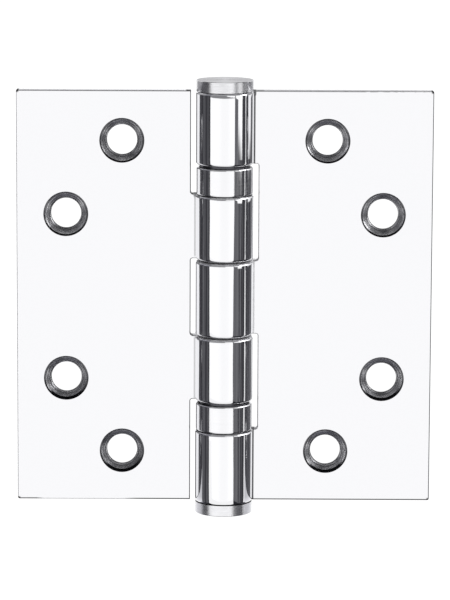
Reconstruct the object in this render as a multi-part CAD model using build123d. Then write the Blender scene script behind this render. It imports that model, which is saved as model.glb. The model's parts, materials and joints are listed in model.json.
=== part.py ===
from build123d import *
import os
from math import asin, atan2, cos, degrees, radians, sin, sqrt, tan

# Ball bearing butt hinge, 4 1/2 by 4 1/2 inch, laid open flat.
# The pin stands along Z with the origin at its middle. The countersunk faces look towards -Y.
# The frame leaf, with knuckles 1, 3 and 5 from the top, is on the +X side.

# Leaves
leaf_height = 114.3
leaf_width = 57.15
leaf_thickness = 3.4
face_setback = 0.8
leaf_corner_radius = 0.5
face_edge_round = 0.35
outer_edge_round = 0.7

# Pin and the knuckles rolled round it
pin_radius = 4.5
pin_clearance = 0.04
middle_knuckle_height = 20.6
side_knuckle_height = 18.0
knuckle_gap = 0.4
neck_bend_radius = 3.2
seam_gap = 0.2
notch_clearance = 1.36
notch_corner_radius = 0.6

# Countersunk screw holes
hole_radius = 4.15
rim_radius = 6.18
rim_width = 0.35
rim_depth = 0.6
countersink_angle = 82.0
end_row_inset = 13.85
row_spacing = 20.4
outer_column_inset = 13.55
column_spacing = 15.4

# Flat button tips
tip_height = 3.0
tip_step = 0.1
tip_edge_chamfer = 0.12
plug_length = 5.0
plug_clearance = 0.02
pin_end_gap = 0.3
pin_end_chamfer = 0.6

# Thrust bearings between the knuckles
bearing_height = 8.3
sleeve_step = 0.15
sleeve_wall = 0.7
sleeve_top_gap = 0.6
sleeve_edge_round = 0.55
race_pin_clearance = 0.1
race_seat_clearance = 0.02
race_running_clearance = 0.15
cage_height = 0.6
cage_end_clearance = 0.15
cage_side_clearance = 0.15
cage_rim = 0.25
pocket_clearance = 0.1
ball_clearance = 0.03
ball_count = 10

# Sizes that follow from those above
bore_radius = pin_radius + pin_clearance
barrel_radius = bore_radius + leaf_thickness
notch_edge = barrel_radius + notch_clearance
half_height = leaf_height / 2
middle_knuckle_top = middle_knuckle_height / 2
side_knuckle_bottom = middle_knuckle_top + knuckle_gap
side_knuckle_top = side_knuckle_bottom + side_knuckle_height
end_knuckle_bottom = side_knuckle_top + bearing_height
tip_radius = barrel_radius - tip_step
sleeve_radius = barrel_radius - sleeve_step
sleeve_bore_radius = sleeve_radius - sleeve_wall
ball_circle_radius = (pin_radius + sleeve_bore_radius) / 2
ball_radius = (sleeve_bore_radius - pin_radius) / 2 - cage_side_clearance - cage_rim - pocket_clearance
race_gap = cage_height + 2 * cage_end_clearance
race_height = (bearing_height - race_gap) / 2


def strip_profile():
    """Section of a leaf across the pin: flat plate, reverse bend and curl, as one bent strip."""
    front = face_setback
    back = face_setback + leaf_thickness
    bend_y = front + leaf_thickness / 2 + neck_bend_radius
    curl_to_bend = bore_radius + leaf_thickness / 2 + neck_bend_radius
    bend_x = sqrt(curl_to_bend**2 - bend_y**2)
    neck_angle = degrees(atan2(bend_y, bend_x))
    end_angle = 360 + degrees(asin((front - seam_gap) / barrel_radius))
    curl_sweep = end_angle - neck_angle
    bend_sweep = 90 - neck_angle
    bend_centre = (bend_x, bend_y)
    end_direction = Vector(cos(radians(end_angle)), sin(radians(end_angle)))

    outline = [
        Line((leaf_width, front), (bend_x, front)),
        CenterArc(bend_centre, neck_bend_radius + leaf_thickness / 2, 270, -bend_sweep),
        CenterArc((0, 0), bore_radius, neck_angle, curl_sweep),
        Line(end_direction * bore_radius, end_direction * barrel_radius),
        CenterArc((0, 0), barrel_radius, neck_angle, curl_sweep),
        CenterArc(bend_centre, neck_bend_radius - leaf_thickness / 2, 270, -bend_sweep),
        Line((bend_x, back), (leaf_width, back)),
        Line((leaf_width, back), (leaf_width, front)),
    ]
    return make_face(outline)


def notch(bottom, top):
    """Cutter that removes the curl between two heights and leaves round inner corners."""
    reach = 2 * barrel_radius
    width = notch_edge + reach
    cutter = Pos((notch_edge - reach) / 2, 0, (bottom + top) / 2) * Box(width, 2 * reach, top - bottom)
    ends = half_height
    inner_corners = [
        edge
        for edge in cutter.edges().filter_by(Axis.Y)
        if abs(edge.center().X - notch_edge) < 0.001 and abs(edge.center().Z) < ends
    ]
    return fillet(inner_corners, notch_corner_radius)


def screw_hole():
    """Cutter for one hole: through bore, countersink cone and the steeper rim at its mouth."""
    cone_mouth = rim_radius - rim_width
    cone_depth = (cone_mouth - hole_radius) / tan(radians(countersink_angle / 2))
    over = 1.0
    outline = Polyline(
        (0, -over),
        (rim_radius + over * rim_width / rim_depth, -over),
        (cone_mouth, rim_depth),
        (hole_radius, rim_depth + cone_depth),
        (hole_radius, leaf_thickness + over),
        (0, leaf_thickness + over),
        close=True,
    )
    return Pos(0, face_setback, 0) * revolve(make_face(outline), Axis.Y)


def hole_places():
    """Centres of the four holes of one leaf, as distances from the pin axis and from mid height."""
    outer_column = leaf_width - outer_column_inset
    inner_column = outer_column - column_spacing
    end_row = half_height - end_row_inset
    inner_row = end_row - row_spacing
    return [
        (inner_column, end_row),
        (outer_column, inner_row),
        (outer_column, -inner_row),
        (inner_column, -end_row),
    ]


def edges_of_plate(body, depth):
    """Outline edges of the flat plate at one depth, on its face or on its back."""
    return [
        edge
        for edge in body.edges()
        if abs(edge.bounding_box().min.Y - depth) < 0.001
        and abs(edge.bounding_box().max.Y - depth) < 0.001
        and edge.center().X > barrel_radius
    ]


def leaf(notches):
    """One leaf on the +X side, with its curl cut away over each notch."""
    body = Pos(0, 0, -half_height) * extrude(strip_profile(), leaf_height)
    for bottom, top in notches:
        body -= notch(bottom, top)

    knuckle_ends = [
        edge
        for edge in body.edges().filter_by(GeomType.CIRCLE)
        if abs(edge.radius - barrel_radius) < 0.001
    ]
    back_edges = edges_of_plate(body, face_setback + leaf_thickness)
    body = fillet(knuckle_ends + back_edges, outer_edge_round)

    corners = [edge for edge in body.edges().filter_by(Axis.Y) if edge.center().X > leaf_width - 0.001]
    body = fillet(corners, leaf_corner_radius)
    body = fillet(edges_of_plate(body, face_setback), face_edge_round)

    for x, z in hole_places():
        body -= Pos(x, 0, z) * screw_hole()
    return body


def frame_leaf():
    """Leaf with knuckles 1, 3 and 5, screwed to the door frame."""
    return leaf([(middle_knuckle_top, end_knuckle_bottom), (-end_knuckle_bottom, -middle_knuckle_top)])


def door_leaf():
    """Leaf with knuckles 2 and 4, screwed to the door. Its section mirrors the frame leaf's."""
    past_end = half_height + leaf_thickness
    body = leaf(
        [
            (side_knuckle_top, past_end),
            (-side_knuckle_bottom, side_knuckle_bottom),
            (-past_end, -side_knuckle_top),
        ]
    )
    return mirror(body, Plane.YZ)


def hinge_pin():
    """Turned pin with its flat top tip in one piece. It hangs by the tip on knuckle 1."""
    pin_bottom = -half_height + plug_length + pin_end_gap
    outline = Polyline(
        (0, pin_bottom),
        (pin_radius - pin_end_chamfer, pin_bottom),
        (pin_radius, pin_bottom + pin_end_chamfer),
        (pin_radius, half_height),
        (tip_radius, half_height),
        (tip_radius, half_height + tip_height - tip_edge_chamfer),
        (tip_radius - tip_edge_chamfer, half_height + tip_height),
        (0, half_height + tip_height),
        close=True,
    )
    return revolve(make_face(Plane.XZ * outline), Axis.Z)


def bottom_tip():
    """Turned plug that closes the barrel below the pin. Its spigot is driven into knuckle 5."""
    plug_radius = bore_radius - plug_clearance
    outline = Polyline(
        (0, -half_height - tip_height),
        (tip_radius - tip_edge_chamfer, -half_height - tip_height),
        (tip_radius, -half_height - tip_height + tip_edge_chamfer),
        (tip_radius, -half_height),
        (plug_radius, -half_height),
        (plug_radius, -half_height + plug_length),
        (0, -half_height + plug_length),
        close=True,
    )
    return revolve(make_face(Plane.XZ * outline), Axis.Z)


def ring(inner_radius, outer_radius, bottom, top):
    """Plain ring about the pin axis between two heights."""
    height = top - bottom
    blank = Cylinder(outer_radius, height) - Cylinder(inner_radius, height)
    return Pos(0, 0, (bottom + top) / 2) * blank


def bearing_sleeve(seat):
    """Polished outer ring that stands on the knuckle below and hides the balls."""
    sleeve = ring(sleeve_bore_radius, sleeve_radius, seat, seat + bearing_height - sleeve_top_gap)
    rims = [
        edge
        for edge in sleeve.edges().filter_by(GeomType.CIRCLE)
        if abs(edge.radius - sleeve_radius) < 0.001
    ]
    return fillet(rims, sleeve_edge_round)


def ball_groove(middle):
    """Ring-shaped cutter that the balls run in, a running clearance larger than they are."""
    return Pos(0, 0, middle) * Torus(ball_circle_radius, ball_radius + ball_clearance)


def lower_race(seat):
    """Hardened washer pressed into the sleeve, with the ball groove in its top."""
    washer = ring(
        pin_radius + race_pin_clearance,
        sleeve_bore_radius - race_seat_clearance,
        seat,
        seat + race_height,
    )
    return washer - ball_groove(seat + bearing_height / 2)


def upper_race(seat):
    """Hardened washer that turns with the knuckle above, free of the sleeve round it."""
    washer = ring(
        pin_radius + race_pin_clearance,
        sleeve_bore_radius - race_running_clearance,
        seat + bearing_height - race_height,
        seat + bearing_height,
    )
    return washer - ball_groove(seat + bearing_height / 2)


def ball_place(seat, index):
    """Centre of one ball of a bearing."""
    angle = radians(360 * index / ball_count)
    return Pos(ball_circle_radius * cos(angle), ball_circle_radius * sin(angle), seat + bearing_height / 2)


def ball_cage(seat):
    """Flat ring with one round pocket for each ball."""
    middle = seat + bearing_height / 2
    cage = ring(
        pin_radius + cage_side_clearance,
        sleeve_bore_radius - cage_side_clearance,
        middle - cage_height / 2,
        middle + cage_height / 2,
    )
    pocket = Cylinder(ball_radius + pocket_clearance, 2 * cage_height)
    for index in range(ball_count):
        cage -= ball_place(seat, index) * pocket
    return cage


def save(shape, node):
    """Write one piece under its node name."""
    export_step(shape, "parts/" + node + ".step")


def build():
    """Make every piece in its place and write one file for each."""
    os.makedirs("parts", exist_ok=True)
    save(frame_leaf(), "frame_leaf")
    save(door_leaf(), "door_leaf")
    save(hinge_pin(), "hinge_pin")
    save(bottom_tip(), "bottom_tip")
    for level, seat in [("upper", side_knuckle_top), ("lower", -end_knuckle_bottom)]:
        save(bearing_sleeve(seat), level + "_bearing_sleeve")
        save(upper_race(seat), level + "_bearing_top_race")
        save(lower_race(seat), level + "_bearing_bottom_race")
        save(ball_cage(seat), level + "_ball_cage")
        for index in range(ball_count):
            ball = ball_place(seat, index) * Sphere(ball_radius)
            save(ball, f"{level}_ball_{index + 1:02d}")


build()
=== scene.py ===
import json
import math

import bpy
from mathutils import Matrix, Vector


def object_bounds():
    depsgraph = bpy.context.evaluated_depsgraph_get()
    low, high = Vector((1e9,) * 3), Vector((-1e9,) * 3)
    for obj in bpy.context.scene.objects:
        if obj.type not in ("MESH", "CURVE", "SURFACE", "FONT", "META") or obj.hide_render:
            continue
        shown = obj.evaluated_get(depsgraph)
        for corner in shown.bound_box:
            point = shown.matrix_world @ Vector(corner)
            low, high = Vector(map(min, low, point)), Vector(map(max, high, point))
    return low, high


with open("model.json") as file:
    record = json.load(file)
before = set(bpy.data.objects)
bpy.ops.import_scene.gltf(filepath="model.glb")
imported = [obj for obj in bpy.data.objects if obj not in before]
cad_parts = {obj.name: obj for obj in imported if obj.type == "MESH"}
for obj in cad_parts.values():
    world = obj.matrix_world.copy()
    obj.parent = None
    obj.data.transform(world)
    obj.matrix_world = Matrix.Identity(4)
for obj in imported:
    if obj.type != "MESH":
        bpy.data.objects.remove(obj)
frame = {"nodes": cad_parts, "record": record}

cad_box = [list(corner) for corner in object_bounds()]
nodes = frame["nodes"]
scene = bpy.context.scene

# Camera.
# It stands in front of the pin and a little above it, so that the tip's flat top shows, and far
# enough away for the leaves' edges to stay nearly parallel.
PHOTO_WIDTH = 450
PHOTO_HEIGHT = 600
OPEN_WIDTH_PX = 415.0
AXIS_X_PX = 224.2
MIDDLE_Y_PX = 297.3
OPEN_WIDTH = cad_box[1][0] - cad_box[0][0]
EYE_DISTANCE = 1.0
EYE_HEIGHT_ANGLE = math.radians(9.5)
EYE_ROLL = math.radians(0.25)
SENSOR = 36.0
NEAREST_SEEN = 0.05
FARTHEST_SEEN = 50.0

metres_per_px = OPEN_WIDTH / OPEN_WIDTH_PX
camera_data = bpy.data.cameras.new("camera")
camera_data.sensor_fit = "AUTO"
camera_data.sensor_width = SENSOR
camera_data.lens = SENSOR * EYE_DISTANCE / (PHOTO_HEIGHT * metres_per_px)
camera_data.clip_start = NEAREST_SEEN
camera_data.clip_end = FARTHEST_SEEN
camera = bpy.data.objects.new("camera", camera_data)
scene.collection.objects.link(camera)
scene.camera = camera

towards_eye = Vector((0, -math.cos(EYE_HEIGHT_ANGLE), math.sin(EYE_HEIGHT_ANGLE)))
up_in_view = Vector((0, math.sin(EYE_HEIGHT_ANGLE), math.cos(EYE_HEIGHT_ANGLE)))
aim = Vector(((PHOTO_WIDTH / 2 - AXIS_X_PX) * metres_per_px, 0, 0))
aim -= up_in_view * (PHOTO_HEIGHT / 2 - MIDDLE_Y_PX) * metres_per_px
camera.location = aim + towards_eye * EYE_DISTANCE
turn = (-towards_eye).to_track_quat("-Z", "Y").to_matrix().to_4x4()
camera.rotation_euler = (turn @ Matrix.Rotation(EYE_ROLL, 4, "Z")).to_euler()
scene.view_settings.view_transform = "Standard"


# Studio.
# A plain white room with a pale floor well below the hinge. The polished steel mirrors what stands round
# it: white cards in front, dark and grey ones at the sides, pale ones behind, a grey ceiling with a black
# card under it, a dark card below the hinge and soft lights at the right. The camera sees only the floor.
def linear(hex_colour):
    """Linear RGBA of an sRGB hex colour."""
    channels = [int(hex_colour[n:n + 2], 16) / 255 for n in (1, 3, 5)]
    return [c / 12.92 if c <= 0.04045 else ((c + 0.055) / 1.055) ** 2.4 for c in channels] + [1.0]


def add(tree, kind, inputs=None, output=0, **settings):
    """Add one node with its settings and links, and give back one of its outputs.

    An input is a number, a vector, a hex colour or another node's output.
    """
    node = tree.nodes.new("ShaderNode" + kind)
    for name, value in settings.items():
        setattr(node, name, value)
    for name, value in (inputs or {}).items():
        if isinstance(value, bpy.types.NodeSocket):
            tree.links.new(value, node.inputs[name])
        else:
            node.inputs[name].default_value = linear(value) if isinstance(value, str) else value
    return node.outputs[output] if node.outputs else None


def new_material(name):
    """A material with an empty node tree, and its tree."""
    made = bpy.data.materials.new(name)
    made.use_nodes = True
    made.node_tree.nodes.clear()
    return made, made.node_tree


def seen_straight(tree):
    """1 for a ray from the camera, off metal or through glass, and 0 for the light on the object."""
    rays = add(tree, "LightPath").node.outputs
    either = add(tree, "Math", {0: rays["Is Camera Ray"], 1: rays["Is Glossy Ray"]}, operation="MAXIMUM")
    return add(tree, "Math", {0: either, 1: rays["Is Transmission Ray"]}, operation="MAXIMUM")


# The white room lights the hinge a little below full strength, and shows as pure white.
WHITE = "#ffffff"
WORLD_LIGHT = 0.9
SHOWN_WHITE = 1.0
world = bpy.data.worlds.new("white_room")
scene.world = world
world.use_nodes = True
room = world.node_tree
room.nodes.clear()
strength = add(room, "MapRange", {"Value": seen_straight(room), "To Min": WORLD_LIGHT, "To Max": SHOWN_WHITE})
sky = add(room, "Background", {"Color": WHITE, "Strength": strength})
add(room, "OutputWorld", {"Surface": sky})


def panel(name, corners, material, seen_by_camera=False):
    """A flat stage card through its corners, in order."""
    mesh = bpy.data.meshes.new(name)
    mesh.from_pydata(corners, [], [tuple(range(len(corners)))])
    card = bpy.data.objects.new(name, mesh)
    card.data.materials.append(material)
    card.visible_camera = seen_by_camera
    scene.collection.objects.link(card)


def level_card(name, height, sides, ends, paint, seen_by_camera=False):
    """Level card at one height, between two sides, left and right, and two ends, near and far."""
    left, right = sides
    near, far = ends
    corners = [(x, y, height) for x, y in ((left, near), (right, near), (right, far), (left, far))]
    panel(name, corners, paint, seen_by_camera)


# The floor is matt white paint, so the hinge's shadow on it is soft. Seen straight, most of its white
# comes from a glow.
FLOOR_DROP = 0.25
FLOOR_HALF = 12.0
FLOOR_SHOWN_WHITE = 0.95
FLOOR_GLOW = 1.1
floor_z = cad_box[0][2] - FLOOR_DROP
floor_paint, tree = new_material("floor_paint")
matt = add(tree, "BsdfDiffuse", {"Color": "#f4f4f4"})
glow = add(tree, "Emission", {"Color": WHITE, "Strength": FLOOR_GLOW})
share = add(tree, "Math", {0: seen_straight(tree), 1: FLOOR_SHOWN_WHITE}, operation="MULTIPLY")
shown = add(tree, "MixShader", {0: share, 1: matt, 2: glow})
add(tree, "OutputMaterial", {"Surface": shown})
level_card("floor", floor_z, (-FLOOR_HALF, FLOOR_HALF), (-FLOOR_HALF, FLOOR_HALF), floor_paint, True)


def grain(tree, place, sizes, detail=2.0):
    """Noise from 0 to 1 with grains of these sizes in metres along X, Y and Z."""
    stretched = add(tree, "Mapping", {"Vector": place, "Scale": [1 / size for size in sizes]})
    return add(tree, "TexNoise", {"Vector": stretched, "Scale": 1.0, "Detail": detail}, "Fac")


def layered(tree, ground, *layers):
    """A colour or a value with others laid over it, each given as its mask and what shows there."""
    in_colour = isinstance(ground, str) or getattr(ground, "type", "VALUE") == "RGBA"
    # The Mix node's own numbers for its two inputs and its output, in colour and in plain values.
    under, over, result, data_type = (6, 7, 2, "RGBA") if in_colour else (2, 3, 0, "FLOAT")
    for mask, layer in layers:
        ground = add(tree, "Mix", {"Factor": mask, under: ground, over: layer}, result, data_type=data_type)
    return ground


STREAK_SIZES = (1.0, 0.06, 3.0)
STREAKS_START = 0.5
STREAKS_FULL = 0.68


def card_paint(name, hex_colour, light=1.0, fade=None, streak_colour=None):
    """Self-lit card, plain or with upright streaks of a second colour.

    A fade, (axis, start, end, light at start), brings its light up along an axis.
    """
    made, tree = new_material(name)
    place = add(tree, "NewGeometry", output="Position")
    colour = hex_colour
    if streak_colour:
        streaks = add(tree, "MapRange", {"Value": grain(tree, place, STREAK_SIZES),
                                         "From Min": STREAKS_START, "From Max": STREAKS_FULL})
        colour = layered(tree, hex_colour, (streaks, streak_colour))
    if fade:
        axis, start, end, start_light = fade
        along = add(tree, "SeparateXYZ", {"Vector": place}, axis)
        ramp = {"Value": along, "From Min": start, "From Max": end, "To Min": start_light, "To Max": light}
        light = add(tree, "MapRange", ramp, interpolation_type="SMOOTHSTEP")
    tone = add(tree, "Emission", {"Color": colour, "Strength": light})
    add(tree, "OutputMaterial", {"Surface": tone})
    return made


def wall(name, plane, start, end, bottom, top, paint):
    """Upright card across one plane, (axis, distance), from start to end along the other axis."""
    axis, distance = plane
    corners = []
    for along, z in ((start, bottom), (end, bottom), (end, top), (start, top)):
        corners.append((distance, along, z) if axis == "x" else (along, distance, z))
    panel(name, corners, paint)


# The front cards are white at the hinge's level and a little brighter further out, and grey above.
CARD_TOP = 0.6
FRONT_REACH = 0.8
FRONT_WHITE_TOP = 0.03
FRONT_MIDDLE = 0.1
FRONT_FADE_END = 0.4
FRONT_LEFT_END = -1.5
FRONT_RIGHT_END = 0.64
MIDDLE_LIGHT = 1.135
OUTER_LIGHT = 1.2
front = ("y", -FRONT_REACH)
wall("front_middle", front, -FRONT_MIDDLE, FRONT_MIDDLE, floor_z, FRONT_WHITE_TOP,
     card_paint("front_white", WHITE, MIDDLE_LIGHT))
for side, inner_end, outer_end, fade_end in (("left", -FRONT_MIDDLE, FRONT_LEFT_END, -FRONT_FADE_END),
                                             ("right", FRONT_MIDDLE, FRONT_RIGHT_END, FRONT_FADE_END)):
    fade = ("X", inner_end, fade_end, MIDDLE_LIGHT)
    start, end = sorted((inner_end, outer_end))
    wall("front_" + side, front, start, end, floor_z, FRONT_WHITE_TOP,
         card_paint(f"front_{side}_white", WHITE, OUTER_LIGHT, fade))
wall("front_above", front, FRONT_LEFT_END, FRONT_RIGHT_END, FRONT_WHITE_TOP, CARD_TOP,
     card_paint("front_above_grey", "#8c8c8e"))

# The side cards are dark at the hinge's level and catch some light near the ceiling. Their ends are
# given in degrees round the pin, counted from the camera.
SIDE_REACH = 0.6
SIDE_FADE = ("Z", 0.05, 0.45, 1.0)
DARK_LIGHT = 5.0
GREY_LIGHT = 1.7
LEFT_DARK_STARTS = 61
LEFT_DARK_ENDS = 96.3
RIGHT_GREY_STARTS = 39
RIGHT_DARK_STARTS = 57
RIGHT_DARK_ENDS = 88


def along_side(degrees):
    """Distance along a side card of the point that lies so many degrees round from the camera."""
    return -SIDE_REACH / math.tan(math.radians(degrees))


side_dark = card_paint("side_dark", "#3e3e42", DARK_LIGHT, SIDE_FADE, "#8e8e92")
side_grey = card_paint("side_grey", "#6a6a6d", GREY_LIGHT, SIDE_FADE, "#88888b")
for name, distance, start, end, paint in (
        ("left_card", -SIDE_REACH, LEFT_DARK_STARTS, LEFT_DARK_ENDS, side_dark),
        ("right_card_near", SIDE_REACH, RIGHT_GREY_STARTS, RIGHT_DARK_STARTS, side_grey),
        ("right_card_far", SIDE_REACH, RIGHT_DARK_STARTS, RIGHT_DARK_ENDS, side_dark)):
    wall(name, ("x", distance), along_side(start), along_side(end), floor_z, CARD_TOP, paint)

# Only the top tip, which stands clear of the leaves, mirrors this card behind the right one.
BEHIND_STARTS = 91
BEHIND_ENDS = 125
BEHIND_BOTTOM = -0.08
BEHIND_TOP = 0.03
wall("right_card_behind", ("x", SIDE_REACH), along_side(BEHIND_STARTS), along_side(BEHIND_ENDS),
     BEHIND_BOTTOM, BEHIND_TOP, card_paint("behind_grey", "#5e5e62"))

# Two more cards stand behind, lighter towards the floor, so that the hinge's back isn't plain white.
BEHIND_SIDE_CARDS = 0.02
BACK_CARDS_REACH = SIDE_REACH + BEHIND_SIDE_CARDS
BACK_CARDS_START = 93
BACK_CARDS_END = 150
BACK_CARDS_FADE_TOP = -0.1
BACK_CARDS_FOOT_LIGHT = 2.5
back_side_paint = card_paint("back_side_grey", "#a4a4a7", 1.0,
                             ("Z", floor_z, BACK_CARDS_FADE_TOP, BACK_CARDS_FOOT_LIGHT))
for side, distance in (("left", -BACK_CARDS_REACH), ("right", BACK_CARDS_REACH)):
    wall(side + "_card_back", ("x", distance), along_side(BACK_CARDS_START), along_side(BACK_CARDS_END),
         floor_z, CARD_TOP, back_side_paint)

# The leaves' rounded top edges mirror a bright card right behind them.
BACK_REACH = 1.0
BACK_CARD_BOTTOM = 0.07
BACK_CARD_TOP = 0.42
BACK_CARD_LIGHT = 1.15
wall("back_card", ("y", BACK_REACH), -SIDE_REACH, SIDE_REACH, BACK_CARD_BOTTOM, BACK_CARD_TOP,
     card_paint("back_white", "#f4f4f6", BACK_CARD_LIGHT))

# The ceiling darkens towards the front and stops short of the back card.
CEILING_FADE = ("Y", 0.25, -0.6, 0.2)
CEILING_BACK = 0.45
level_card("ceiling", CARD_TOP, (FRONT_LEFT_END, FRONT_RIGHT_END), (-FRONT_REACH, CEILING_BACK),
           card_paint("ceiling_grey", "#b4b4b6", 1.0, CEILING_FADE))

# A black card hangs overhead, and the lower rims of the countersinks mirror it. The narrow white strip
# behind it lights the cones inside those dark rims.
OVERHEAD_HALF = 0.35
OVERHEAD_DROP = 0.01
OVERHEAD_CARD_ENDS = (-0.24, -0.08)
OVERHEAD_STRIP_ENDS = (-0.075, -0.03)
for name, ends, paint in (("overhead_card", OVERHEAD_CARD_ENDS, card_paint("overhead_black", "#101012")),
                          ("overhead_strip", OVERHEAD_STRIP_ENDS, card_paint("overhead_strip_glow", WHITE))):
    level_card(name, CARD_TOP - OVERHEAD_DROP, (-OVERHEAD_HALF, OVERHEAD_HALF), ends, paint)

# A dark card lies under the hinge and widens to meet the side cards, so that the knuckles' lower rounds
# go dark. It lightens towards the back, for the upper rims of the countersinks mirror that part.
UNDER_FRONT = -0.05
UNDER_HALF = 0.08
UNDER_BACK = 0.3
UNDER_LIFT = 0.004
UNDER_SIDES_END = 100
UNDER_BACK_LIGHT = 8.0
UNDER_FADE = ("Y", 0.03, 0.12, 1.0)
under_corners = (
    (-SIDE_REACH, along_side(LEFT_DARK_STARTS)), (-UNDER_HALF, UNDER_FRONT), (UNDER_HALF, UNDER_FRONT),
    (SIDE_REACH, along_side(RIGHT_GREY_STARTS)), (SIDE_REACH, along_side(UNDER_SIDES_END)),
    (UNDER_HALF, UNDER_BACK), (-UNDER_HALF, UNDER_BACK), (-SIDE_REACH, along_side(UNDER_SIDES_END)))
panel("under_card", [(x, y, floor_z + UNDER_LIFT) for x, y in under_corners],
      card_paint("under_dark", "#2c2c30", UNDER_BACK_LIGHT, UNDER_FADE))

# The soft light stands before the right side cards. It narrows downwards and fades out just below the
# top knuckle's level.
LIGHT_STRENGTH = 1.2
LIGHT_BOTTOM = -0.051
LIGHT_NARROW_TOP = 0.0
LIGHT_WIDE_BOTTOM = 0.04
LIGHT_TOP = 0.4
LIGHT_FADE = ("Z", LIGHT_BOTTOM, -0.03, 0.1)
LIGHT_IN_FRONT_OF_CARD = 0.01
LIGHT_FOOT_STARTS = 54
LIGHT_FOOT_ENDS = 73
LIGHT_TOP_STARTS = 43
LIGHT_TOP_ENDS = 80
light_x = SIDE_REACH - LIGHT_IN_FRONT_OF_CARD
light_corners = (
    (LIGHT_FOOT_STARTS, LIGHT_BOTTOM), (LIGHT_FOOT_ENDS, LIGHT_BOTTOM), (LIGHT_TOP_ENDS, LIGHT_TOP),
    (LIGHT_TOP_STARTS, LIGHT_TOP), (LIGHT_TOP_STARTS, LIGHT_WIDE_BOTTOM),
    (LIGHT_FOOT_STARTS, LIGHT_NARROW_TOP))
panel("soft_light", [(light_x, along_side(degrees), z) for degrees, z in light_corners],
      card_paint("soft_light_glow", WHITE, LIGHT_STRENGTH, LIGHT_FADE))

# The light's wing leans over the front card, and the top knuckle mirrors it as the rounded corner of
# its white band.
WING_END = 0.08
WING_LOW = 0.045
WING_HIGH = 0.09
wing_y = LIGHT_IN_FRONT_OF_CARD - FRONT_REACH
wing_corners = ((FRONT_RIGHT_END, WING_LOW), (FRONT_RIGHT_END, LIGHT_TOP), (WING_END, LIGHT_TOP),
                (WING_END, WING_HIGH))
panel("soft_light_wing", [(x, wing_y, z) for x, z in wing_corners],
      card_paint("soft_light_wing_glow", WHITE, LIGHT_STRENGTH))

# A smaller and stronger light stands before the soft one, higher than the hinge, and catches the tool
# rings in the countersinks.
HIGH_LIGHT_STRENGTH = 4.5
HIGH_LIGHT_STARTS = 66
HIGH_LIGHT_BACK = 0.08
HIGH_LIGHT_BOTTOM = 0.14
HIGH_LIGHT_TOP = 0.42
wall("high_light", ("x", light_x - LIGHT_IN_FRONT_OF_CARD), along_side(HIGH_LIGHT_STARTS), HIGH_LIGHT_BACK,
     HIGH_LIGHT_BOTTOM, HIGH_LIGHT_TOP, card_paint("high_light_glow", WHITE, HIGH_LIGHT_STRENGTH))


# Leaves.
# Each is one strip of 3.4 mm stainless steel, stamped, rolled round the pin and buffed to a mirror that
# shows the whole room. The sheared edges and the countersinks were cut afterwards: they are greyer, and
# the tool has left marks across the edges and rings in the holes.
LEAF_THICKNESS = 0.0034
CUT_STARTS = 0.00002
BACK_ROUND = 0.0007
PLATE_STARTS = 0.0085
PLATE_SOFTNESS = 0.0001
HALVES_SOFTNESS = 0.001
record_mounts = {mount["name"]: mount for mount in frame["record"]["mounts"]}
leaf_back = record_mounts["frame_leaf_back"]["pos_m"][1]
leaf_face = leaf_back - LEAF_THICKNESS
# Each column of holes has one above and one below the middle, half their spacing away.
hole_centres = []
for column in ("inner", "outer"):
    pattern = record_mounts[f"frame_leaf_{column}_screws"]
    hole_centres.append((pattern["pos_m"][0], pattern["dims"]["spacing_y_mm"] / 2000))


def dress(names, material):
    """Put one material on CAD nodes that keep their own shape."""
    for name in names:
        slots = nodes[name].data.materials
        slots.clear()
        slots.append(material)


buffed_steel, tree = new_material("buffed_stainless_steel")
place = add(tree, "TexCoord", output="Object")
across, depth, height = add(tree, "SeparateXYZ", {"Vector": place}).node.outputs
folded = add(tree, "VectorMath", {0: place}, operation="ABSOLUTE")
from_pin = add(tree, "SeparateXYZ", {"Vector": folded}, "X")
from_middle = add(tree, "SeparateXYZ", {"Vector": folded}, "Z")
facing = add(tree, "SeparateXYZ", {"Vector": add(tree, "NewGeometry", output="Normal")}, "Z")
facing_end = add(tree, "Math", {0: facing}, operation="ABSOLUTE")

# Distance to the nearest hole's centre, across the leaf.
distances = []
for hole_x, hole_z in hole_centres:
    from_hole = add(tree, "VectorMath", {0: folded, 1: (hole_x, 0, hole_z)}, operation="SUBTRACT")
    flat_from_hole = add(tree, "VectorMath", {0: from_hole, 1: (1, 0, 1)}, operation="MULTIPLY")
    distances.append(add(tree, "VectorMath", {0: flat_from_hole}, "Value", operation="LENGTH"))
hole_distance = add(tree, "Math", {0: distances[0], 1: distances[1]}, operation="MINIMUM")

# The holes: a bore painted dark as shade, then the cone, then the rim that the cutter burred, painted dark as
# shade.
BORE_RADIUS = 0.0042
RIM_STARTS = 0.0058
COUNTERSINK_RADIUS = 0.0064
RIM_SOFTNESS = 0.00008

# The notches are painted dark as shade, most in the left-hand leaf's, and so are the outer corners and the
# bottom edges: all along the right-hand leaf's, and at both ends of the left-hand leaf's.
NOTCH_ENDS = 0.0108
NOTCH_SOFTNESS = 0.0003
SIDE_EDGE_STARTS = 0.0562
CORNER_STARTS = 0.0563
SHADE_SOFTNESS = 0.0004
BOTTOM_SHADE = (-0.0567, -0.0569)
FAR_LEFT_SHADE = (-0.05, -0.052)
NEAR_BARREL_SHADE = (-0.028, -0.024)

# The buffing wheel can't reach the crease where the plate leaves its knuckle, so a dull line stays there,
# painted dark as shade, most on the right-hand leaf. Nor does it reach the flat ends of the knuckles, which
# are dull and painted dark as the shade in the joints: darkest on the ends that face down, hardly at the
# middle joints.
CREASE_STARTS = 0.00795
CREASE_ENDS = 0.0084
CREASE_SOFTNESS = 0.00005
CREASE_DEPTH = 0.0001
MIDDLE_JOINT = 0.0112
FACES_END = (0.7, 0.85)
FACES_UP = (-0.1, 0.1)
FLARE_LOOKS_UP = (0.25, 0.55)

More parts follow.
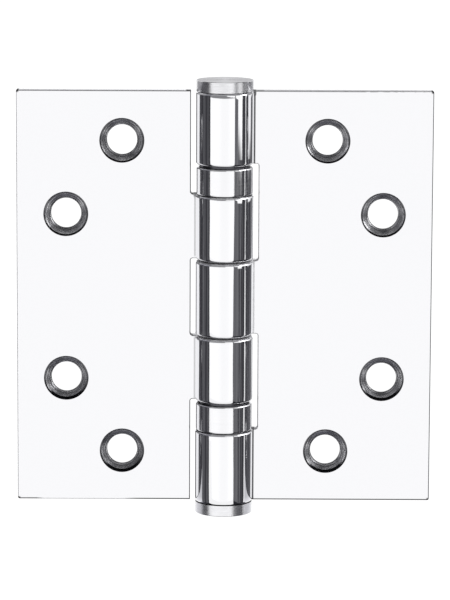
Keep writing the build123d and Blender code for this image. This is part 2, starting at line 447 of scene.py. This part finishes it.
# Masks of all these places. Each is 0 before its first measure and 1 past its second.
on_leaf = {}
for name, measure, start, end in (
        ("plate", from_pin, PLATE_STARTS, PLATE_STARTS + PLATE_SOFTNESS),
        ("barrel", from_pin, PLATE_STARTS + PLATE_SOFTNESS, PLATE_STARTS),
        ("behind_face", depth, leaf_face + CUT_STARTS, leaf_face + 2 * CUT_STARTS),
        ("off_back_round", depth, leaf_back - BACK_ROUND, leaf_back - 2 * BACK_ROUND),
        ("off_back", depth, leaf_back - CUT_STARTS, leaf_back - 3 * CUT_STARTS),
        ("top_half", height, -HALVES_SOFTNESS, HALVES_SOFTNESS),
        ("right_half", across, -HALVES_SOFTNESS, HALVES_SOFTNESS),
        ("mouth", hole_distance, COUNTERSINK_RADIUS, COUNTERSINK_RADIUS - PLATE_SOFTNESS),
        ("rim", hole_distance, RIM_STARTS, RIM_STARTS + RIM_SOFTNESS),
        ("bore", hole_distance, BORE_RADIUS + RIM_SOFTNESS, BORE_RADIUS),
        ("side_edge", from_pin, SIDE_EDGE_STARTS, SIDE_EDGE_STARTS + SHADE_SOFTNESS),
        ("notch", from_pin, NOTCH_ENDS, NOTCH_ENDS - NOTCH_SOFTNESS),
        ("corner_across", from_pin, CORNER_STARTS, CORNER_STARTS + SHADE_SOFTNESS),
        ("corner_up", from_middle, CORNER_STARTS, CORNER_STARTS + SHADE_SOFTNESS),
        ("bottom_edge", height, *BOTTOM_SHADE),
        ("far_left", across, *FAR_LEFT_SHADE),
        ("near_barrel_and_right", across, *NEAR_BARREL_SHADE),
        ("past_barrel", from_pin, CREASE_STARTS, CREASE_STARTS + CREASE_SOFTNESS),
        ("before_plate", from_pin, CREASE_ENDS, CREASE_ENDS - PLATE_SOFTNESS),
        ("near_face", depth, leaf_face + CREASE_DEPTH, leaf_face + CREASE_SOFTNESS),
        ("middle_joint", from_middle, MIDDLE_JOINT + SHADE_SOFTNESS, MIDDLE_JOINT),
        ("flat_end", facing_end, *FACES_END),
        ("facing_up", facing, *FACES_UP),
        ("compound_side", facing, *FLARE_LOOKS_UP)):
    on_leaf[name] = add(tree, "MapRange", {"Value": measure, "From Min": start, "From Max": end})
on_right = on_leaf["right_half"]

cut_edge = add(tree, "Math", {0: on_leaf["off_back_round"], 1: on_leaf["plate"]}, operation="MULTIPLY")
in_hole = add(tree, "Math", {0: on_leaf["mouth"], 1: on_leaf["off_back"]}, operation="MULTIPLY")
cut_share = add(tree, "Math", {0: cut_edge, 1: in_hole}, operation="MAXIMUM")
cut_plate = add(tree, "Math", {0: on_leaf["behind_face"], 1: cut_share}, operation="MULTIPLY")

# Tool rings in the countersinks: real ones lie 0.1 mm apart, drawn at 0.6 mm so that they show. The
# cutter's chatter broke them up every 3 mm or so.
RING_SPACING = 0.0006
RING_WANDER = (0.004, 0.004, 0.004)
CHATTER_SIZES = (0.003, 0.003, 0.003)
RING_LINES = (0.38, 0.62)
UNBROKEN_BY_CHATTER = (0.3, 0.6)
wander = grain(tree, place, RING_WANDER)
ring_place = add(tree, "Math", {0: hole_distance, 1: 1 / RING_SPACING, 2: wander}, operation="MULTIPLY_ADD")
rings = add(tree, "TexNoise", {"W": ring_place, "Scale": 1.0, "Detail": 2.0}, "Fac", noise_dimensions="1D")
ring_tone = 1.0
for pattern, (start, end) in ((rings, RING_LINES), (grain(tree, place, CHATTER_SIZES), UNBROKEN_BY_CHATTER)):
    shown = add(tree, "MapRange", {"Value": pattern, "From Min": start, "From Max": end})
    ring_tone = add(tree, "Math", {0: ring_tone, 1: shown}, operation="MULTIPLY")

# The cutter opened each mouth a little wider than the cone, and more so in the lower holes. Where this
# flare looks up it is painted near black as shade.
FLARE_STARTS = 0.0054
FLARE_ENDS = 0.0061
UPPER_FLARE_LATER = 0.0003
WHOLE_FLARE = 0.12
flare_place = add(tree, "Math", {0: on_leaf["top_half"], 1: -UPPER_FLARE_LATER, 2: hole_distance},
                  operation="MULTIPLY_ADD")
flare = add(tree, "MapRange", {"Value": flare_place, "From Min": FLARE_STARTS, "From Max": FLARE_ENDS})
in_flare = add(tree, "MapRange", {"Value": flare, "From Min": 0.0, "From Max": WHOLE_FLARE})
painted_flare_shade = add(tree, "Math", {0: in_flare, 1: on_leaf["compound_side"]}, operation="MULTIPLY")
# The bore and the rim are painted dark as shade, and so is the flare where it looks up.
cone_colour = layered(tree, "#8c8c8f", (ring_tone, "#f4f4f6"), (on_leaf["rim"], "#58585b"),
                      (on_leaf["bore"], "#38383a"), (painted_flare_shade, "#1c1c1f"))

# Shear marks 0.5 mm wide run across the edges from face to back. The side edges carry painted light and
# shade: the left-hand leaf's is painted near white, the right-hand leaf's painted darker.
SHEAR_MARK_SIZES = (0.0005, 0.006, 0.0005)
shear = grain(tree, place, SHEAR_MARK_SIZES)
side_edge_light_and_shade = layered(tree, "#f4f4f6", (on_right, "#6c6c70"))
# The notches are painted dark as shade, less in the right-hand leaf's.
notch_share = layered(tree, 1.0, (on_right, 0.3))
in_notch = add(tree, "Math", {0: on_leaf["notch"], 1: notch_share}, operation="MULTIPLY")
edge_colour = layered(tree, "#e4e4e7", (shear, "#fafafc"), (on_leaf["side_edge"], side_edge_light_and_shade),
                      (in_notch, "#2e2e30"))
cut_colour = layered(tree, edge_colour, (in_hole, cone_colour))

# Painted shade is laid over everything else: on the dull places, the outer corners and the bottom edges.
painted_bottom_shade_part = add(tree, "Math", {0: on_leaf["far_left"], 1: on_leaf["near_barrel_and_right"]},
                   operation="MAXIMUM")
painted_bottom_shade = add(tree, "Math", {0: on_leaf["bottom_edge"], 1: painted_bottom_shade_part}, operation="MULTIPLY")
corner = add(tree, "Math", {0: on_leaf["corner_across"], 1: on_leaf["corner_up"]}, operation="MULTIPLY")
# The crease and the knuckle ends are rougher and painted dark as shade.
crease = layered(tree, 0.35, (on_right, 0.95))
for name in ("past_barrel", "before_plate", "near_face"):
    crease = add(tree, "Math", {0: crease, 1: on_leaf[name]}, operation="MULTIPLY")
knuckle_end = add(tree, "Math", {0: on_leaf["flat_end"], 1: on_leaf["barrel"]}, operation="MULTIPLY")
dull_and_shaded = add(tree, "Math", {0: crease, 1: knuckle_end}, operation="MAXIMUM")
painted_end_shade = layered(tree, "#2e2e30", (on_leaf["facing_up"], "#5c5c5f"),
                     (on_leaf["middle_joint"], "#e4e4e6"))
colour = layered(tree, "#ececee", (cut_plate, cut_colour), (dull_and_shaded, painted_end_shade), (corner, "#242426"),
                 (painted_bottom_shade, "#343436"))

# Buffing leaves faint lines along the barrel and across the plate, really under 0.1 mm wide and drawn at
# 0.4 mm so that they show, and the roll left it slightly wavy.
BUFF_LINE_SIZES = (0.0004, 0.0004, 0.02)
ROLL_WAVE_SIZES = (0.0016, 0.0016, 0.05)
buff_lines = grain(tree, place, BUFF_LINE_SIZES)
roll_waves = grain(tree, place, ROLL_WAVE_SIZES, 0.0)
left_shear_roughness = layered(tree, 0.2, (shear, 0.35))
right_shear_roughness = layered(tree, 0.5, (shear, 0.7))
side_roughness = layered(tree, 0.8, (on_right, 0.35))
cut_roughness = layered(tree, left_shear_roughness, (on_right, right_shear_roughness),
                        (on_leaf["side_edge"], side_roughness), (in_hole, 0.26))
roughness = layered(tree, 0.02, (buff_lines, 0.07), (cut_plate, cut_roughness), (dull_and_shaded, 0.5))

# Buffing also rounds the last 2 mm of each knuckle softly. A pair is where that starts and the knuckle's
# end, as distances from the hinge's middle.
KNUCKLE_ENDS = ((0.0083, 0.0103), (0.0127, 0.0107), (0.0267, 0.0287), (0.039, 0.037), (0.05515, 0.05715))
relief = 0.0
for soft_start, soft_end in KNUCKLE_ENDS:
    towards_end = add(tree, "MapRange", {"Value": from_middle, "From Min": soft_start, "From Max": soft_end})
    rounded = add(tree, "Math", {0: towards_end, 1: towards_end}, operation="MULTIPLY")
    relief = add(tree, "Math", {0: relief, 1: rounded}, operation="ADD")

# Heights of the relief: knuckle ends, roll waves and buffing lines, then the holes' flare and rings.
END_ROUNDING = 0.00012
WAVE_HEIGHT = 0.00004
LINE_HEIGHT = 0.000003
FLARE_DEPTH = 0.00008
RING_DEPTH = 0.00014
hole_wall = add(tree, "Math", {0: in_hole, 1: cut_plate}, operation="MULTIPLY")
ring_strength = layered(tree, 1.0, (in_flare, 0.3))
ring_share = add(tree, "Math", {0: hole_wall, 1: ring_strength}, operation="MULTIPLY")
surface = add(tree, "Bump", {"Strength": on_leaf["barrel"], "Distance": END_ROUNDING, "Height": relief},
              invert=True)
for strength, distance, shape, inverted in ((1.0, WAVE_HEIGHT, roll_waves, False),
                                            (1.0, LINE_HEIGHT, buff_lines, False),
                                            (hole_wall, FLARE_DEPTH, flare, True),
                                            (ring_share, RING_DEPTH, rings, False)):
    surface = add(tree, "Bump", {"Strength": strength, "Distance": distance, "Height": shape,
                                 "Normal": surface}, invert=inverted)
steel = add(tree, "BsdfPrincipled", {"Metallic": 1.0, "Base Color": colour, "Roughness": roughness,
                                     "Normal": surface})
add(tree, "OutputMaterial", {"Surface": steel})
dress(["frame_leaf", "door_leaf"], buffed_steel)


# Pin and tips.
# Both are turned from stainless bar, with flat button ends left as they came off the lathe. Turning rings
# on the flats and round the sides, 0.2 mm apart as the lathe was fed, blur what they mirror along the
# pin, and the flats that face up are painted darker as shade.
TURNING_SIZES = (0.0002, 0.0002, 1.0)
TURNING_DEPTH = 0.000006
BLOTCH_SIZES = (0.002, 0.002, 0.0007)
FACES_TOP = (0.8, 0.95)


def on_lathe(tree, place):
    """The place as distance from the pin's axis and height, where a grain runs round the pin."""
    flat_place = add(tree, "VectorMath", {0: place, 1: (1, 1, 0)}, operation="MULTIPLY")
    radius = add(tree, "VectorMath", {0: flat_place}, "Value", operation="LENGTH")
    return add(tree, "CombineXYZ", {"X": radius, "Y": add(tree, "SeparateXYZ", {"Vector": place}, "Z")})


turned_steel, tree = new_material("turned_stainless_steel")
place = add(tree, "TexCoord", output="Object")
turning = grain(tree, on_lathe(tree, place), TURNING_SIZES)
blotches = grain(tree, place, BLOTCH_SIZES)
facing = add(tree, "SeparateXYZ", {"Vector": add(tree, "NewGeometry", output="Normal")}, "Z")
flat_top = add(tree, "MapRange", {"Value": facing, "From Min": FACES_TOP[0], "From Max": FACES_TOP[1]})
# The flat tops are painted darker as shade.
shaded_flat_colour = layered(tree, "#838386", (blotches, "#909093"))
steel = add(tree, "BsdfPrincipled", {
    "Metallic": 1.0,
    "Anisotropic": 0.5,
    "Base Color": layered(tree, "#dcdcdf", (blotches, "#f2f2f4"), (flat_top, shaded_flat_colour)),
    "Roughness": layered(tree, 0.17, (turning, 0.29)),
    "Normal": add(tree, "Bump", {"Strength": 1.0, "Distance": TURNING_DEPTH, "Height": turning}),
    "Tangent": add(tree, "Tangent", direction_type="RADIAL", axis="Z")})
add(tree, "OutputMaterial", {"Surface": steel})
dress(["hinge_pin", "bottom_tip"], turned_steel)


# Bearing sleeves.
# Each is a short length of stainless tube, turned and polished, that hides the balls. Its polishing
# ran round the ring, so its mirror is a little softer up and down than the knuckles'. The real lines
# are under 0.1 mm wide, and are drawn at 0.25 mm so that they show.
POLISH_LINE_SIZES = (0.02, 0.02, 0.00025)
POLISH_DEPTH = 0.000001


def worked_metal(tree, marks, colours, roughnesses, depth=None):
    """Metal whose colour, roughness and relief all follow the marks of its making."""
    finish = {"Metallic": 1.0,
              "Base Color": layered(tree, colours[0], (marks, colours[1])),
              "Roughness": layered(tree, roughnesses[0], (marks, roughnesses[1]))}
    if depth:
        finish["Normal"] = add(tree, "Bump", {"Strength": 1.0, "Distance": depth, "Height": marks})
    add(tree, "OutputMaterial", {"Surface": add(tree, "BsdfPrincipled", finish)})


sleeve_steel, tree = new_material("polished_sleeve_steel")
polish_lines = grain(tree, add(tree, "TexCoord", output="Object"), POLISH_LINE_SIZES)
worked_metal(tree, polish_lines, ("#e6e6e8", "#eeeef0"), (0.06, 0.13), POLISH_DEPTH)
dress(["upper_bearing_sleeve", "lower_bearing_sleeve"], sleeve_steel)


# Bearing races.
# Hardened washers, ground flat and grooved, with a circular grain that is drawn 0.1 mm wide, a few times
# the grit's own. They are painted dark as shade, so the gap above each sleeve looks nearly black.
GRINDING_SIZES = (0.0001, 0.0001, 1.0)
GRINDING_DEPTH = 0.000005
race_steel, tree = new_material("ground_bearing_steel")
grinding = grain(tree, on_lathe(tree, add(tree, "TexCoord", output="Object")), GRINDING_SIZES)
worked_metal(tree, grinding, ("#4a4a4e", "#65656a"), (0.22, 0.38), GRINDING_DEPTH)
dress([name for name in nodes if name.endswith("_race")], race_steel)


# Bearing balls.
# Hardened chrome steel, ground and then lapped to a mirror, ten to a bearing. The lapping leaves a faint
# cloudiness, in patches of 0.4 mm.
LAPPING_SIZES = (0.0004, 0.0004, 0.0004)
ball_steel, tree = new_material("lapped_chrome_steel")
lapping = grain(tree, add(tree, "TexCoord", output="Object"), LAPPING_SIZES)
worked_metal(tree, lapping, ("#d2d2d5", "#dfdfe2"), (0.03, 0.08))
dress([name for name in nodes if "_ball_" in name and not name.endswith("_cage")], ball_steel)


# Ball cages.
# Flat rings stamped from sheet brass, with a pocket for each ball. Their satin skin has dulled unevenly,
# in patches of 1.5 mm.
TARNISH_SIZES = (0.0015, 0.0015, 0.0015)
TARNISH_DEPTH = 0.00001
cage_brass, tree = new_material("stamped_sheet_brass")
tarnish = grain(tree, add(tree, "TexCoord", output="Object"), TARNISH_SIZES, 4.0)
worked_metal(tree, tarnish, ("#a98547", "#d0ae68"), (0.28, 0.48), TARNISH_DEPTH)
dress([name for name in nodes if name.endswith("_cage")], cage_brass)
